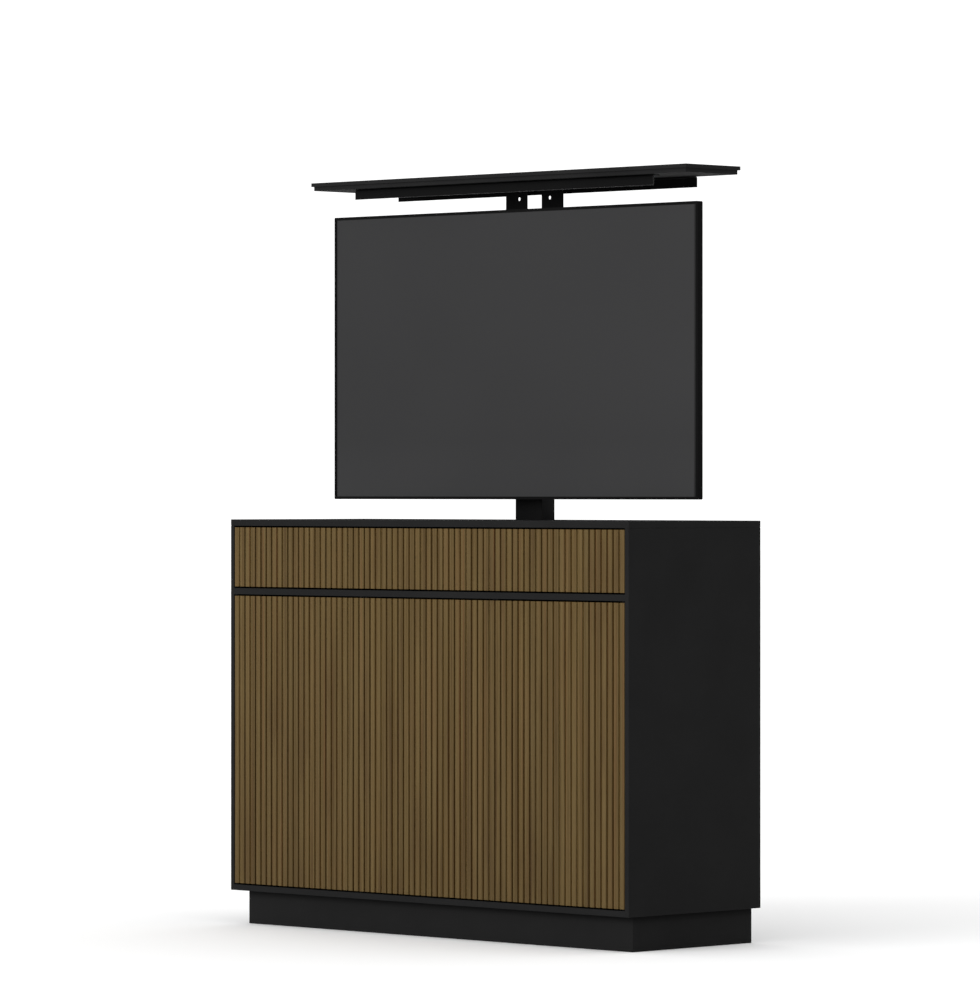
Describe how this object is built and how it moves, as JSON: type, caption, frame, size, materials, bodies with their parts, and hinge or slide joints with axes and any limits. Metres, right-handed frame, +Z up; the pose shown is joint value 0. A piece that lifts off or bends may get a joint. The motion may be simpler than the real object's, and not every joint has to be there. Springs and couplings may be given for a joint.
{
  "type": "tv lift cabinet",
  "caption": "Slatted walnut-front cabinet on a plinth; a telescopic column lifts a television and the lid out of its top, above a full-width drawer and push-open slatted doors.",
  "frame": {"origin": "on the floor under the middle of the cabinet, which is the bottom centre of the bounding box with the lift raised", "axes": "+Z up; -Y out of the slatted fronts; +X to the right of someone who faces the fronts"},
  "size_m": [1.2, 0.4, 1.625],
  "materials": {
    "black_lacquer": "satin",
    "walnut": "satin",
    "drawer_board": "matte",
    "black_steel": "satin",
    "zinc_steel": "satin",
    "black_plastic": "satin",
    "grey_plastic": "matte",
    "screen_glass": "satin"
  },
  "bodies": {
    "cabinet": {"side_panel_left": "black_lacquer", "side_panel_right": "black_lacquer", "top_panel": "black_lacquer", "bottom_panel": "black_lacquer", "middle_panel": "black_lacquer", "back_panel": "black_lacquer", "divider_panel": "black_lacquer", "partition_left": "black_lacquer", "partition_right": "black_lacquer", "shelf_left": "black_lacquer", "shelf_right": "black_lacquer", "plinth_front": "black_lacquer", "plinth_back": "black_lacquer", "plinth_left": "black_lacquer", "plinth_right": "black_lacquer", "pivot_left_bottom": "black_steel", "pivot_left_top": "black_steel", "pivot_middle_bottom": "black_steel", "pivot_middle_top": "black_steel", "pivot_right_bottom": "black_steel", "pivot_right_top": "black_steel", "latch_left_body": "grey_plastic", "latch_middle_body": "grey_plastic", "latch_right_body": "grey_plastic", "drawer_runner_left_fixed": "zinc_steel", "drawer_runner_right_fixed": "zinc_steel", "lift_base_plate": "black_steel", "lift_outer_tube": "black_steel", "lift_outer_collar": "black_plastic", "lift_gear_motor": "grey_plastic", "lift_control_box": "grey_plastic"},
    "lift_middle": {"lift_middle_tube": "black_steel", "lift_middle_collar": "black_plastic"},
    "lift_inner": {"lift_inner_tube": "black_steel", "lift_head": "black_steel", "tv_carrier": "black_steel", "tv_rail_left": "black_steel", "tv_rail_right": "black_steel", "tv_frame": "black_plastic", "tv_screen": "screen_glass", "tv_back_cover": "black_plastic", "lid_arm_left": "black_steel", "lid_arm_right": "black_steel", "lid_bar_front": "black_steel", "lid_bar_back": "black_steel", "lid_panel": "black_lacquer"},
    "drawer": {"drawer_front": "walnut", "drawer_side_left": "drawer_board", "drawer_side_right": "drawer_board", "drawer_back": "drawer_board", "drawer_floor": "drawer_board", "drawer_runner_left_moving": "zinc_steel", "drawer_runner_right_moving": "zinc_steel"},
    "door_left": {"door_left": "walnut"},
    "door_middle": {"door_middle": "walnut"},
    "door_right": {"door_right": "walnut"},
    "plunger_left": {"latch_left_plunger": "zinc_steel"},
    "plunger_middle": {"latch_middle_plunger": "zinc_steel"},
    "plunger_right": {"latch_right_plunger": "zinc_steel"}
  },
  "joints": [
    {"name": "lift_middle_slide", "type": "slide", "parent": "cabinet", "child": "lift_middle", "axis": [0, 0, 1], "range_m": [-0.3705, 0]},
    {"name": "lift_inner_slide", "type": "slide", "parent": "lift_middle", "child": "lift_inner", "axis": [0, 0, 1], "range_m": [-0.3705, 0]},
    {"name": "drawer_slide", "type": "slide", "parent": "cabinet", "child": "drawer", "axis": [0, -1, 0], "range_m": [0, 0.12]},
    {"name": "door_left_hinge", "type": "hinge", "parent": "cabinet", "child": "door_left", "pos_m": [-0.584, -0.196, 0.404], "axis": [0, 0, -1], "range_deg": [0, 100]},
    {"name": "door_middle_hinge", "type": "hinge", "parent": "cabinet", "child": "door_middle", "pos_m": [-0.19167, -0.196, 0.404], "axis": [0, 0, -1], "range_deg": [0, 90]},
    {"name": "door_right_hinge", "type": "hinge", "parent": "cabinet", "child": "door_right", "pos_m": [0.584, -0.196, 0.404], "axis": [0, 0, 1], "range_deg": [0, 100]},
    {"name": "latch_left_press", "type": "slide", "parent": "cabinet", "child": "plunger_left", "axis": [0, 1, 0], "range_m": [0, 0.004], "stiffness_N_per_m": 200},
    {"name": "latch_middle_press", "type": "slide", "parent": "cabinet", "child": "plunger_middle", "axis": [0, 1, 0], "range_m": [0, 0.004], "stiffness_N_per_m": 200},
    {"name": "latch_right_press", "type": "slide", "parent": "cabinet", "child": "plunger_right", "axis": [0, 1, 0], "range_m": [0, 0.004], "stiffness_N_per_m": 200}
  ],
  "couplings": [
    {"joint": "lift_inner_slide", "follows": "lift_middle_slide", "ratio": 1}
  ]
}
